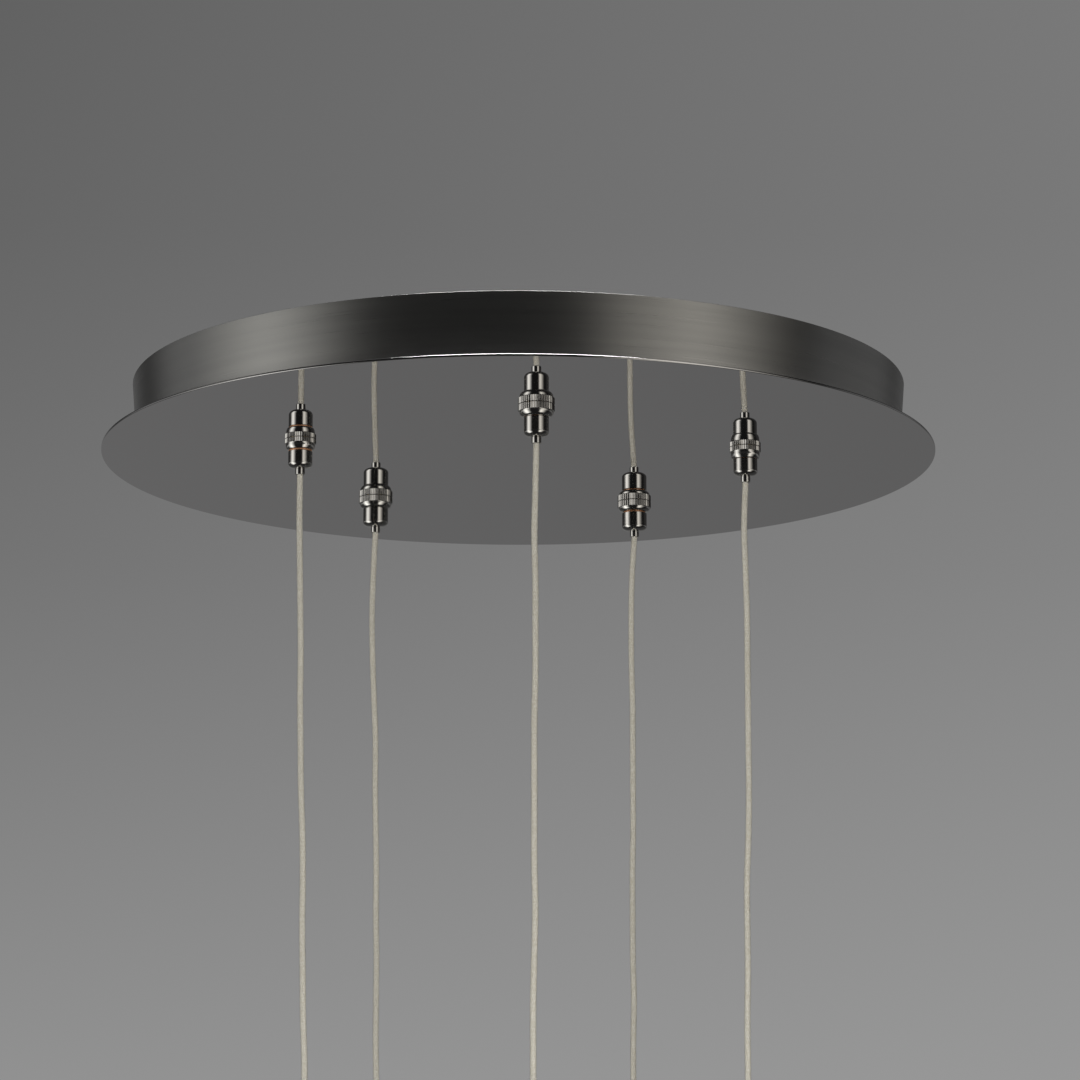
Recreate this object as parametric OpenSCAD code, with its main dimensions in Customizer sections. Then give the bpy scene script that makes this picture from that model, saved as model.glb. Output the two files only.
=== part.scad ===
// Five-light pendant: a shallow ceiling pan with a larger polished plate under it,
// and five plug-in cords that hang from threaded sockets, each with a small lamp head.
// Millimetres. The origin is the centre of the pan's rim, in the plane of the ceiling.
// +Z points up, +X to the right and -Y to the front.

/* [Canopy] */
// Diameter of the polished plate
plate_d = 445; // [430:1:520]
// Thickness of the polished plate
plate_t = 1.2; // [1:0.1:3]
// Outer diameter of the pan at the ceiling
pan_d = 413; // [408:1:428]
// Height of the pan, from the ceiling to the plate
pan_h = 35.8; // [34:0.1:60]
// How much the pan's band draws in towards the plate, on the radius
pan_draft = 2.5; // [0.5:0.1:4]
// Sheet thickness of the pan
pan_t = 1.2; // [0.8:0.1:1.6]
// Width of the lip turned in at the ceiling
lip_w = 3; // [2.5:0.1:6]
// Outside radius of the corner between band and floor
pan_corner_r = 2; // [1.8:0.1:4]

/* [Ceiling strap] */
// Width of the strap
strap_w = 24; // [22:1:32]
// Thickness of the strap
strap_t = 1.5; // [1.2:0.1:2]
// Depth of the strap's turned-down edges
strap_edge = 4; // [3:0.1:5.5]
// Length of the ears that the side screws enter
ear_h = 15; // [14:0.5:18]
// Distance between the two slots for the ceiling box
box_spacing = 88.9; // [80:0.1:100]
// Width of those slots
box_slot_w = 4.6; // [4.2:0.1:5]
// End-to-end length of those slots
box_slot_l = 14; // [10:0.5:18]
// Diameter of the hole in the middle of the strap
nipple_hole_d = 10.5; // [9:0.5:12]
// Thread diameter of the side screws and the earth screw
screw_d = 4; // [3.5:0.1:4.5]
// Head diameter of the earth screw
screw_head_d = 8; // [7:0.1:9]
// Head height of the earth screw
screw_head_h = 1.2; // [1:0.1:1.6]
// Depth of the side screws below the ceiling
side_screw_drop = 9.5; // [9:0.5:10]

/* [Sockets] */
// Radius of the circle that the sockets stand on
circle_r = 123.5; // [118:0.5:128]
// Angle of the front socket from straight ahead
turn = 4.2; // [0:0.1:6]
// Thread diameter of a socket
socket_d = 9.5; // [9.2:0.1:10]
// Diameter of the flange under the plate
socket_flange_d = 12; // [11:0.1:12.6]
// Height of the flange under the plate
socket_flange_h = 1.5; // [1:0.1:2.5]
// Width across flats of the socket's nut
nut_af = 13; // [12.5:0.5:15]
// Height of the nut
nut_h = 2.5; // [2:0.1:4]
// Thickness of the fibre washer under the nut
fibre_t = 0.8; // [0.5:0.1:1.2]
// Diameter of the plug's pin
pin_d = 3.1; // [2.8:0.1:3.4]

/* [Locking rings] */
// Diameter of the large rings over the knurl
large_ring_d = 18.6; // [17.6:0.1:20]
// Diameter of the two small rings over the knurl
small_ring_d = 16.4; // [16.2:0.1:17.4]
// Height of the knurl on the large rings
large_knurl_h = 3.4; // [3:0.1:4]
// Height of the knurl on the small rings
small_knurl_h = 2.5; // [2:0.1:3.6]
// Number of ridges in a knurl
knurl_ridges = 44; // [36:1:60]
// Depth of the knurl
knurl_depth = 0.3; // [0.2:0.05:0.4]
// Turns of the thread before a plug is free
ring_turns = 3; // [2:1:5]
// Pitch of the thread
thread_pitch = 0.75; // [0.5:0.25:1]

/* [Plugs] */
// Diameter of the three narrow barrels
narrow_barrel_d = 12.8; // [12:0.1:13.2]
// Diameter of the two wide barrels
wide_barrel_d = 14; // [13:0.1:14.4]
// Length of the three long barrels
long_barrel_l = 10.3; // [8:0.1:12]
// Length of the two short barrels
short_barrel_l = 9.2; // [7:0.1:11]
// Radius of the barrels' lower edge
barrel_edge_r = 2.4; // [1:0.1:3]
// Diameter of the copper washer above the barrel
washer_d = 12.2; // [11.6:0.1:12.3]
// Thickness of the copper washer
washer_t = 0.7; // [0.5:0.1:1]
// Diameter of the cord ferrule
ferrule_d = 5.1; // [4.8:0.1:6.5]
// Length of the cord ferrule
ferrule_l = 3.2; // [2.6:0.1:5]

/* [Cords and lamps] */
// Diameter of a cord
cord_d = 3.2; // [2.8:0.1:3.4]
// Drop from the ferrule's mouth to the lamp head
cord_drop = 330; // [300:5:420]
// Diameter of the lamp cap
cap_d = 40; // [36:1:48]
// Height of the lamp cap
cap_h = 34; // [32:1:48]
// Wall of the lamp cap
cap_t = 1.2; // [1:0.1:2]
// Diameter of the frosted diffuser
diffuser_d = 36; // [33:0.5:37]
// Length of diffuser that shows below the cap
diffuser_h = 38; // [30:1:60]
// Wall of the diffuser
diffuser_t = 1.6; // [1.2:0.1:2]

/* [Hidden] */
// Gap between a part that moves and the one that it rests against
seat_gap = 0.3;
// Gap between a ring and the plate that it is screwed up against
ring_gap = 0.1;
// Gap between the faces of a ring that turns on its plug
face_fit = 0.05;
// Gaps on the radius: a thread or pin that turns, a pin in its seat, and a hole round a thread
thread_fit = 0.1;
seat_fit = 0.03;
hole_fit = 0.15;
round_fn = 96;
pendants = 5;
plate_z = -(pan_h + plate_t);
floor_z = -pan_h + pan_t;

// Angle and place of each socket, counted from the front one towards +X
function spot_angle(i) = turn + (i - 1) * 360 / pendants;
function spot(i) = [circle_r * sin(spot_angle(i)), -circle_r * cos(spot_angle(i)), 0];
// The second and fifth fittings have the small rings
function small_ring(i) = i == 2 || i == 5;
function ring_d(i) = small_ring(i) ? small_ring_d : large_ring_d;
function knurl_h(i) = small_ring(i) ? small_knurl_h : large_knurl_h;
// The third and fourth fittings have the wide barrels, the small rings have the short ones
function wide_barrel(i) = i == 3 || i == 4;
function barrel_d(i) = wide_barrel(i) ? wide_barrel_d : narrow_barrel_d;
function barrel_l(i) = small_ring(i) ? short_barrel_l : long_barrel_l;
// A skirt hides the copper washer on the first, second and fourth fittings
skirts = [0.6, 0.6, 0, 0.6, 0];

// Heights under the plate, counted downwards
recess_z = socket_flange_h + seat_gap;
socket_out = recess_z + ring_turns * thread_pitch;
clip_z = socket_out + seat_gap;
clip_t = 0.5;
ring_web_t = 1;
ring_web_z = clip_z + clip_t + face_fit + ring_web_t;
ring_mouth_r = washer_d / 2 + 0.6;
clip_d = socket_d - 0.2;
neck_d = clip_d - 1.3;
washer_z = ring_web_z + face_fit;
barrel_z = washer_z + washer_t;
function ferrule_z(i) = barrel_z + barrel_l(i);
function mouth_z(i) = ferrule_z(i) + ferrule_l;
mouth_depth = 1;
mouth_d = cord_d + 2 * seat_gap;
pin_seat = 5;
pin_hole_d = pin_d + 2 * thread_fit;

// Heights above the pan's floor
socket_top_z = floor_z + fibre_t + nut_h + 1.5;
pin_top_z = socket_top_z - plate_z - seat_gap;
liner_d = 6;
contact_t = 0.6;
tag_w = 3.6;
tag_t = 0.6;
tag_h = 5;

// Strap, and the side screws with their faces just under the band's surface
strap_l = pan_d - 2 * lip_w - 0.8;
edge_short = 12;
ground_x = 24;
sunk = 0.25;
sunk_head_r = screw_d / 2 + pan_t - sunk;

// Driver, set outside the circle of sockets between the fourth and the fifth
driver_l = 130;
driver_w = 38;
driver_h = 21;
driver_out = 36;
driver_r = circle_r + driver_out;
driver_angle = (spot_angle(4) + spot_angle(5)) / 2;
pad_t = 1;

// Distribution board in the middle of the pan, and the leads from it
board_d = 44;
board_t = 1.6;
terminal_w = 8;
terminal_l = 7;
terminal_hole_l = 1.5;
lead_d = 3;
lead_z = socket_top_z + contact_t + lead_d / 2 + 0.2;
terminal_hole_z = lead_z - floor_z - pad_t - board_t;
terminal_h = terminal_hole_z + 3.5;

// Lamp head
nipple_d = 7;
nipple_h = 6;
cap_dome_r = 8;
sink_h = 11;
led_board_t = 1.6;
diffuser_in = 6;
function cord_top_z(i) = plate_z - mouth_z(i);
function lamp_top_z(i) = cord_top_z(i) - cord_drop;

// Sideways lean of each cord at equal steps down its drop, as the photo shows it
cord_rings = 15;
sway = [
    [0, -0.5, -1, -0.5, -0.5, -0.5, -1, -1, -1, -1, -0.5, -1, -1.5, -1.5, -1.5],
    [0, -1, -0.5, 0, 0, 0, 0, 0, -0.5, -1.5, -1.5, -1.5, -2, -2, -2],
    [0, -1.5, -2, -2, -1.5, -1.5, -1.5, -1.5, -2, -2, -2, -1.5, -2, -2, -2],
    [0, -1, -1.5, -1, 0, 1, 1, 1.5, 2, 2, 2.5, 2.5, 2.5, 3, 3],
    [0, 0, 0.5, 1, 1.5, 1.5, 2, 2.5, 3.5, 4, 4, 4.5, 5, 6, 6]
];
function lamp_x(i) = sway[i - 1][cord_rings - 1];

root_nodes = ["canopy_pan", "mirror_plate", "ceiling_strap", "side_screws", "earth_screw",
    "driver_case", "foam_pads", "distribution_board", "edge_terminals", "jack_sockets",
    "socket_liners", "socket_contacts", "socket_nuts", "fibre_washers", "output_leads"];
pendant_nodes = ["plug_barrel", "plug_pin", "copper_washer", "cord_ferrule", "locking_ring",
    "cord", "lamp_cap", "led_module", "diffuser"];

// A rounded quarter from angle a to b about a centre, as outline points
function arc(c, r, a, b, steps = 6) =
    [for (k = [0 : steps]) c + r * [cos(a + (b - a) * k / steps), sin(a + (b - a) * k / steps)]];

module at_sockets() {
    for (i = [1 : pendants])
        translate(spot(i))
            rotate(spot_angle(i) - 90)
                children();
}

// A tube-shaped piece between two heights, z0 being the upper one
module tube(outer_d, inner_d, z0, h) {
    translate([0, 0, z0 - h])
        difference() {
            cylinder(d = outer_d, h = h, $fn = round_fn);
            translate([0, 0, -1])
                cylinder(d = inner_d, h = h + 2, $fn = round_fn);
        }
}

// Spun and turned-in steel pan: band with a slight draft, floor, and a lip at the ceiling
module canopy_pan() {
    top_r = pan_d / 2;
    low_r = top_r - pan_draft;
    outer = arc([low_r - pan_corner_r, -pan_h + pan_corner_r], pan_corner_r, -90, 0);
    inner = arc([low_r - pan_corner_r, -pan_h + pan_corner_r], pan_corner_r - pan_t, 0, -90);
    color("dimgray")
        difference() {
            rotate_extrude($fn = 180)
                polygon(concat([[0, -pan_h]], outer,
                    [[top_r, 0], [top_r - lip_w, 0], [top_r - lip_w, -pan_t], [top_r - pan_t, -pan_t]],
                    inner, [[0, floor_z]]));
            at_sockets()
                translate([0, 0, -pan_h - 1])
                    cylinder(d = socket_d + 2 * hole_fit, h = pan_t + 2, $fn = round_fn);
            side_screw_places()
                rotate_extrude($fn = round_fn)
                    polygon(sunk_outline(seat_gap, -2 * pan_t, 1));
        }
}

// Polished steel disc under the pan, with eased edges
module mirror_plate() {
    ease = 0.3;
    r = plate_d / 2;
    color("gainsboro")
        difference() {
            rotate_extrude($fn = 180)
                polygon([[0, plate_z], [r - ease, plate_z], [r, plate_z + ease],
                    [r, -pan_h - ease], [r - ease, -pan_h], [0, -pan_h]]);
            at_sockets()
                translate([0, 0, plate_z - 1])
                    cylinder(d = socket_d + 2 * hole_fit, h = plate_t + 2, $fn = round_fn);
        }
}

// Places of the side screws: +Z of a child points out through the band, from its outer face
module side_screw_places() {
    wall_r = pan_d / 2 - pan_draft * side_screw_drop / pan_h;
    for (side = [0, 180])
        rotate(side)
            translate([wall_r, 0, -side_screw_drop])
                rotate([0, 90, 0])
                    children();
}

// Outline of a countersunk screw or its hole, grown by a fit, between two heights
function sunk_outline(fit, low, high) = let (r = screw_d / 2 + fit)
    [[0, low], [r, low], [r, -pan_t], [sunk_head_r + fit, -sunk], [sunk_head_r + fit, high], [0, high]];

// Pressed steel crossbar: slots for the ceiling box, turned-down edges and an ear at each end
module ceiling_strap() {
    edge_l = strap_l - 2 * edge_short;
    color("silver")
        difference() {
            union() {
                translate([-strap_l / 2, -strap_w / 2, -strap_t])
                    cube([strap_l, strap_w, strap_t]);
                for (y = [-strap_w / 2, strap_w / 2 - strap_t])
                    translate([-edge_l / 2, y, -strap_edge - strap_t])
                        cube([edge_l, strap_t, strap_edge + strap_t]);
                for (side = [0, 180])
                    rotate(side)
                        translate([strap_l / 2 - strap_t, 0, 0])
                            ear();
            }
            for (x = [-box_spacing / 2, box_spacing / 2])
                translate([x, 0, -strap_t - 1])
                    slot_cut(box_slot_w, box_slot_l, strap_t + 2);
            translate([0, 0, -strap_t - 1])
                cylinder(d = nipple_hole_d, h = strap_t + 2, $fn = round_fn);
            translate([ground_x, 0, -strap_t - 1])
                cylinder(d = screw_d, h = strap_t + 2, $fn = round_fn);
            for (side = [0, 180])
                rotate(side)
                    translate([strap_l / 2 - strap_t - 1, 0, -side_screw_drop])
                        rotate([0, 90, 0])
                            cylinder(d = screw_d, h = strap_t + 2, $fn = round_fn);
        }
}

// One bent-down ear with a round foot
module ear() {
    foot_r = 5.5;
    rotate([90, 0, 90])
        linear_extrude(strap_t)
            union() {
                translate([-strap_w / 2, -strap_t])
                    square([strap_w, strap_t]);
                translate([-foot_r, foot_r - ear_h])
                    square([2 * foot_r, ear_h - foot_r]);
                translate([0, foot_r - ear_h])
                    circle(r = foot_r, $fn = 48);
            }
}

module slot_cut(w, l, h) {
    for (x = [-(l - w) / 2, (l - w) / 2])
        translate([x, 0, 0])
            cylinder(d = w, h = h, $fn = 48);
    translate([-(l - w) / 2, -w / 2, 0])
        cube([l - w, w, h]);
}

// A machine screw with a flat cross-slotted head; its head starts at z = 0 and points up
module flat_screw(length) {
    slot_w = 1.1;
    slot_depth = 0.6;
    ease = 0.35;
    r = screw_head_d / 2;
    shank_r = screw_d / 2 - seat_fit;
    difference() {
        rotate_extrude($fn = 48)
            polygon([[0, -length], [shank_r - ease, -length], [shank_r, ease - length], [shank_r, 0],
                [r, 0], [r, screw_head_h - ease], [r - ease, screw_head_h], [0, screw_head_h]]);
        for (a = [0, 90])
            rotate(a)
                translate([-0.62 * r, -slot_w / 2, screw_head_h - slot_depth])
                    cube([1.24 * r, slot_w, slot_depth + 1]);
    }
}

// The two countersunk screws that hold the pan to the strap's ears, each with a cross slot
module side_screws() {
    slot_w = 0.9;
    slot_depth = 0.6;
    reach = 0.7 * sunk_head_r;
    color("silver")
        side_screw_places()
            difference() {
                rotate_extrude($fn = round_fn)
                    polygon(sunk_outline(-seat_fit, -pan_t - lip_w - strap_t - 1, -sunk + 0.01));
                for (a = [0, 90])
                    rotate(a)
                        translate([-reach, -slot_w / 2, -sunk - slot_depth])
                            cube([2 * reach, slot_w, slot_depth + 1]);
            }
}

// Green earth screw, up through the strap
module earth_screw() {
    color("seagreen")
        translate([ground_x, 0, -strap_t])
            mirror([0, 0, 1])
                flat_screw(strap_t - 0.1);
}

module driver_place() {
    rotate(driver_angle - 90)
        translate([driver_r, 0, floor_z])
            children();
}

// Closed plastic housing of the low-voltage driver: lid line, end ribs and side vents
module driver_case() {
    edge_r = 3;
    vent_n = 9;
    vent_gap = 7;
    lid_h = 5;
    groove = 0.6;
    vent_w = 2;
    vent_in = 8;
    color("whitesmoke")
        driver_place()
            translate([0, 0, pad_t])
                difference() {
                    rotate([90, 0, 0])
                        translate([0, 0, -driver_l / 2])
                            linear_extrude(driver_l)
                                polygon(concat(
                                    [[-driver_w / 2, 0], [driver_w / 2, 0]],
                                    arc([driver_w / 2 - edge_r, driver_h - edge_r], edge_r, 0, 90),
                                    arc([edge_r - driver_w / 2, driver_h - edge_r], edge_r, 90, 180)));
                    for (s = [-1, 1])
                        translate([s * (driver_w / 2 - groove), -driver_l, driver_h - lid_h])
                            translate([s > 0 ? 0 : -2, 0, 0])
                                cube([2, 2 * driver_l, groove]);
                    for (k = [0 : vent_n - 1])
                        translate([vent_in - driver_w / 2, (k - (vent_n - 1) / 2) * vent_gap - 1, driver_h - 1])
                            cube([driver_w - 2 * vent_in, vent_w, 2]);
                }
}

// Double-sided foam pads under the driver and the board
module foam_pads() {
    color("dimgray") {
        driver_place()
            translate([-driver_w / 2 + 4, -driver_l / 2 + 6, 0])
                cube([driver_w - 8, driver_l - 12, pad_t]);
        translate([0, 0, floor_z])
            cylinder(d = board_d - 12, h = pad_t, $fn = 64);
    }
}

// Angles of the board's terminals: five for the sockets and one for the driver
function terminal_angles() = concat([for (i = [1 : pendants]) spot_angle(i)], [driver_angle]);

// Round circuit board that shares the driver's output between the sockets
module distribution_board() {
    color("darkgreen")
        translate([0, 0, floor_z + pad_t])
            difference() {
                cylinder(d = board_d, h = board_t, $fn = 64);
                translate([0, 0, -1])
                    cylinder(d = 5, h = board_t + 2, $fn = 48);
            }
}

// Push-in terminals round the edge of the board, each with its release button
module edge_terminals() {
    button = 3;
    color("white")
        for (a = terminal_angles())
            rotate(a - 90)
                translate([board_d / 2 - terminal_l, 0, floor_z + pad_t + board_t])
                    difference() {
                        union() {
                            translate([0, -terminal_w / 2, 0])
                                cube([terminal_l, terminal_w, terminal_h]);
                            translate([1, -button / 2, terminal_h])
                                cube([button, button, 1]);
                        }
                        translate([terminal_l - terminal_hole_l, 0, terminal_hole_z])
                            rotate([0, 90, 0])
                                cylinder(d = lead_d + 0.4, h = 3, $fn = 48);
                    }
}

// Threaded brass sockets: flange under the plate, thread below it and up through the pan
module jack_sockets() {
    bore_d = liner_d + 2 * seat_fit;
    color("goldenrod")
        at_sockets()
            difference() {
                union() {
                    tube(socket_d, bore_d, socket_top_z, socket_top_z - plate_z + socket_out);
                    tube(socket_flange_d, bore_d, plate_z, socket_flange_h);
                }
                translate([0, 0, plate_z - socket_out - 1])
                    cylinder(d = bore_d, h = 2, $fn = round_fn);
            }
}

// Nylon liners that guide the pins
module socket_liners() {
    color("ivory")
        at_sockets()
            tube(liner_d, pin_hole_d, socket_top_z, socket_top_z - plate_z + socket_out);
}

// Centre contacts on top of the liners, each with a solder tag
module socket_contacts() {
    color("gold")
        at_sockets()
            translate([0, 0, socket_top_z])
                union() {
                    cylinder(d = liner_d - 0.6, h = contact_t, $fn = 48);
                    translate([-tag_t / 2, -tag_w / 2, 0])
                        cube([tag_t, tag_w, tag_h]);
                }
}

// Hexagon nuts that clamp the pan's floor and the plate together
module socket_nuts() {
    color("silver")
        at_sockets()
            translate([0, 0, floor_z + fibre_t])
                difference() {
                    cylinder(d = nut_af / cos(30), h = nut_h, $fn = 6);
                    translate([0, 0, -1])
                        cylinder(d = socket_d + 2 * seat_fit, h = nut_h + 2, $fn = round_fn);
                }
}

// Insulating washers between the nuts and the pan
module fibre_washers() {
    color("saddlebrown")
        at_sockets()
            tube(nut_af / cos(30) + 1, socket_d + 2 * hole_fit, floor_z + fibre_t, fibre_t);
}

// A straight stretch of lead between two radii, towards +X
module run_out(from_r, to_r) {
    translate([from_r, 0, lead_z])
        rotate([0, 90, 0])
            cylinder(d = lead_d, h = to_r - from_r, $fn = 32);
}

// Leads from the board to each socket's tag, and from the driver to the board
module output_leads() {
    start_r = board_d / 2 - terminal_hole_l;
    color("whitesmoke") {
        for (i = [1 : pendants])
            rotate(spot_angle(i) - 90)
                run_out(start_r, circle_r - tag_t / 2);
        rotate(driver_angle - 90)
            run_out(start_r, driver_r - driver_w / 2);
    }
}

// Barrel of a plug: clip flange and neck inside the ring, polished body with a rounded end
module plug_barrel(i) {
    r = barrel_d(i) / 2;
    ease = 0.3;
    low = arc([r - barrel_edge_r, barrel_edge_r - ferrule_z(i)], barrel_edge_r, 0, -90);
    stub_d = ferrule_d - 1;
    color("gainsboro")
        translate(spot(i) + [0, 0, plate_z])
            difference() {
                rotate_extrude($fn = round_fn)
                    polygon(concat(
                        [[0, -clip_z], [clip_d / 2, -clip_z], [clip_d / 2, -clip_z - clip_t],
                            [neck_d / 2, -clip_z - clip_t], [neck_d / 2, -barrel_z],
                            [r - ease, -barrel_z], [r, -barrel_z - ease]],
                        low, [[0, -ferrule_z(i)]]));
                translate([0, 0, -clip_z - pin_seat])
                    cylinder(d = pin_d + 2 * seat_fit, h = pin_seat + 1, $fn = round_fn);
                translate([0, 0, -ferrule_z(i) - 1])
                    cylinder(d = stub_d + 2 * seat_fit, h = 3, $fn = round_fn);
            }
}

// Round-nosed contact pin, seated in the barrel and standing up into the socket
module plug_pin(i) {
    r = pin_d / 2;
    color("gold")
        translate(spot(i) + [0, 0, plate_z])
            rotate_extrude($fn = round_fn)
                polygon(concat([[0, 0.1 - clip_z - pin_seat], [r, 0.1 - clip_z - pin_seat]],
                    arc([0, pin_top_z - r], r, 0, 90)));
}

// Copper washer between the ring and the barrel
module copper_washer(i) {
    color("peru")
        translate(spot(i))
            tube(washer_d, neck_d + 2 * seat_fit, plate_z - washer_z, washer_t);
}

// Crimped ferrule under the barrel; the cord enters its mouth
module cord_ferrule(i) {
    r = ferrule_d / 2;
    ease = 0.5;
    stub_r = (ferrule_d - 1) / 2;
    stub_l = 1.8;
    seat_z = -ferrule_z(i);
    end_z = -mouth_z(i);
    low = arc([r - ease, ease + end_z], ease, 0, -90);
    color("silver")
        translate(spot(i) + [0, 0, plate_z])
            rotate_extrude($fn = round_fn)
                polygon(concat([[0, stub_l + seat_z], [stub_r, stub_l + seat_z], [stub_r, seat_z], [r, seat_z]],
                    low, [[mouth_d / 2, end_z], [mouth_d / 2, mouth_depth + end_z], [0, mouth_depth + end_z]]));
}

// Outline of a knurl: ridges with narrow flat crests and roots round a circle
function knurl_points(r) = [for (k = [0 : knurl_ridges - 1]) for (p = [[-0.1, 0], [0.1, 0], [0.4, 1], [0.6, 1]])
    (r - p[1] * knurl_depth) * [cos((k + p[0]) * 360 / knurl_ridges), sin((k + p[0]) * 360 / knurl_ridges)]];

// Knurled locking ring: knurl against the plate, domed shoulder, threaded bore, washer recess
module locking_ring(i) {
    r = ring_d(i) / 2;
    skirt = skirts[i - 1];
    low_z = ring_web_z + skirt;
    shoulder_r = r - knurl_depth - 0.1;
    shoulder_h = low_z - ring_gap - knurl_h(i);
    steps = 8;
    shoulder = [for (k = [0 : steps])
        [ring_mouth_r + (shoulder_r - ring_mouth_r) * cos(90 * k / steps),
            -ring_gap - knurl_h(i) - shoulder_h * sin(90 * k / steps)]];
    color("silver")
        translate(spot(i) + [0, 0, plate_z])
            difference() {
                union() {
                    translate([0, 0, -ring_gap - knurl_h(i)])
                        linear_extrude(knurl_h(i))
                            polygon(knurl_points(r));
                    rotate_extrude($fn = round_fn)
                        polygon(concat([[0, -ring_gap - knurl_h(i) + 0.5],
                            [shoulder_r, -ring_gap - knurl_h(i) + 0.5]], shoulder, [[0, -low_z]]));
                }
                translate([0, 0, -recess_z])
                    cylinder(d = socket_flange_d + 2 * seat_gap, h = recess_z, $fn = round_fn);
                translate([0, 0, ring_web_t - ring_web_z])
                    cylinder(d = socket_d + 2 * thread_fit, h = ring_web_z, $fn = round_fn);
                translate([0, 0, -low_z - 1])
                    cylinder(d = neck_d + 2 * thread_fit, h = low_z, $fn = round_fn);
                if (skirt > 0)
                    translate([0, 0, -low_z - 1])
                        cylinder(d = washer_d + 2 * thread_fit, h = skirt + 1, $fn = round_fn);
            }
}

// Round cord swept down its hand-chosen places, with its top end inside the ferrule's mouth
module cord(i) {
    sides = 8;
    lead_in = mouth_depth - seat_gap;
    path = concat([[0, lead_in]], [for (k = [0 : cord_rings - 1])
        [sway[i - 1][k], -cord_drop * k / (cord_rings - 1)]]);
    n = len(path);
    points = [for (p = path) for (s = [0 : sides - 1])
        [p[0] + cord_d / 2 * cos(360 * s / sides), cord_d / 2 * sin(360 * s / sides), p[1]]];
    skin = [for (k = [0 : n - 2]) for (s = [0 : sides - 1]) let (t = (s + 1) % sides)
        [k * sides + s, k * sides + t, (k + 1) * sides + t, (k + 1) * sides + s]];
    top = [for (s = [sides - 1 : -1 : 0]) s];
    low = [for (s = [0 : sides - 1]) (n - 1) * sides + s];
    color("beige")
        translate(spot(i) + [0, 0, cord_top_z(i)])
            polyhedron(points = points, faces = concat([top], skin, [low]), convexity = 4);
}

module lamp_place(i) {
    translate(spot(i) + [lamp_x(i), 0, lamp_top_z(i)])
        children();
}

// Spun cap of a lamp head: cord nipple, domed top and a straight skirt
module lamp_cap(i) {
    r = cap_d / 2;
    top_z = -nipple_h;
    low_z = top_z - cap_h;
    outer = arc([r - cap_dome_r, top_z - cap_dome_r], cap_dome_r, 90, 0, 8);
    inner = arc([r - cap_dome_r, top_z - cap_dome_r], cap_dome_r - cap_t, 0, 90, 8);
    color("gainsboro")
        lamp_place(i)
            rotate_extrude($fn = round_fn)
                polygon(concat([[0, 0], [nipple_d / 2 - 0.6, 0], [nipple_d / 2, -0.6],
                    [nipple_d / 2, top_z]], outer, [[r, low_z], [r - cap_t, low_z]], inner,
                    [[0, top_z - cap_t]]));
}

// Aluminium carrier with the light-emitting board on its underside
module led_module(i) {
    top_z = -nipple_h - cap_dome_r - 2;
    r = cap_d / 2 - cap_t - 0.1;
    board_r = diffuser_d / 2 - diffuser_t - 1.5;
    chip_n = 6;
    color("silver")
        lamp_place(i)
            union() {
                translate([0, 0, top_z - sink_h])
                    cylinder(r = r, h = sink_h, $fn = round_fn);
                translate([0, 0, top_z - sink_h - led_board_t])
                    cylinder(r = board_r, h = led_board_t, $fn = round_fn);
                for (k = [0 : chip_n - 1])
                    rotate(360 * k / chip_n)
                        translate([board_r * 0.6 - 1.5, -1.5, top_z - sink_h - led_board_t - 0.8])
                            cube([3, 3, 0.8]);
            }
}

// Closed frosted cup, pushed up into the cap
module diffuser(i) {
    r = diffuser_d / 2;
    edge_r = 9;
    rim_z = -nipple_h - cap_h + diffuser_in;
    low_z = -nipple_h - cap_h - diffuser_h;
    rim_r = cap_d / 2 - cap_t - 0.1;
    rim_t = 2;
    outer = arc([r - edge_r, low_z + edge_r], edge_r, 0, -90, 10);
    inner = arc([r - edge_r, low_z + edge_r], edge_r - diffuser_t, -90, 0, 10);
    color("white")
        lamp_place(i)
            rotate_extrude($fn = round_fn)
                polygon(concat([[r, rim_z - rim_t]], outer, inner,
                    [[r - diffuser_t, rim_z], [rim_r, rim_z], [rim_r, rim_z - rim_t]]));
}

canopy_pan();
mirror_plate();
ceiling_strap();
side_screws();
earth_screw();
driver_case();
foam_pads();
distribution_board();
edge_terminals();
jack_sockets();
socket_liners();
socket_contacts();
socket_nuts();
fibre_washers();
output_leads();
for (i = [1 : pendants]) {
    plug_barrel(i);
    plug_pin(i);
    copper_washer(i);
    cord_ferrule(i);
    locking_ring(i);
    cord(i);
    lamp_cap(i);
    led_module(i);
    diffuser(i);
}
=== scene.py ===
import math

import bmesh
import bpy
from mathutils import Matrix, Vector


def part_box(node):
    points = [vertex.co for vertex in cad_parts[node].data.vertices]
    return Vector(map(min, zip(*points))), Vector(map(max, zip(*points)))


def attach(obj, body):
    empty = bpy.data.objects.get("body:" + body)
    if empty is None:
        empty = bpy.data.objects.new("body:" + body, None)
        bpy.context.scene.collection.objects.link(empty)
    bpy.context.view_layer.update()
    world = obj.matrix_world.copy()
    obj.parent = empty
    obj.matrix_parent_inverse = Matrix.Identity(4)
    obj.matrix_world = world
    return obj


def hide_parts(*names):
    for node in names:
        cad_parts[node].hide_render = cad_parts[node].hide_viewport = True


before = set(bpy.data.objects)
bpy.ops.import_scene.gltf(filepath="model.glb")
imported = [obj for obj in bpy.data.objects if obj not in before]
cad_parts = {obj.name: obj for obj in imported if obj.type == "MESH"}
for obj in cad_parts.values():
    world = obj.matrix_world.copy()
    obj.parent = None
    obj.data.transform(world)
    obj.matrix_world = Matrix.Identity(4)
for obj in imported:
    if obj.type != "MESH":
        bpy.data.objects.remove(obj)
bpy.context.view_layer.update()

# Camera. It stands below the light and well back, with a long lens, and looks up at the
# underside of the plate, so that the far fittings stand a little lower than the near one.
plate_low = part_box("mirror_plate")[0].z
camera_back = 2.100
camera_below_plate = 0.486
camera_pitch = 0.2075
camera_yaw = 0.0055
camera = bpy.data.objects.new("camera", bpy.data.cameras.new("camera"))
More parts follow.
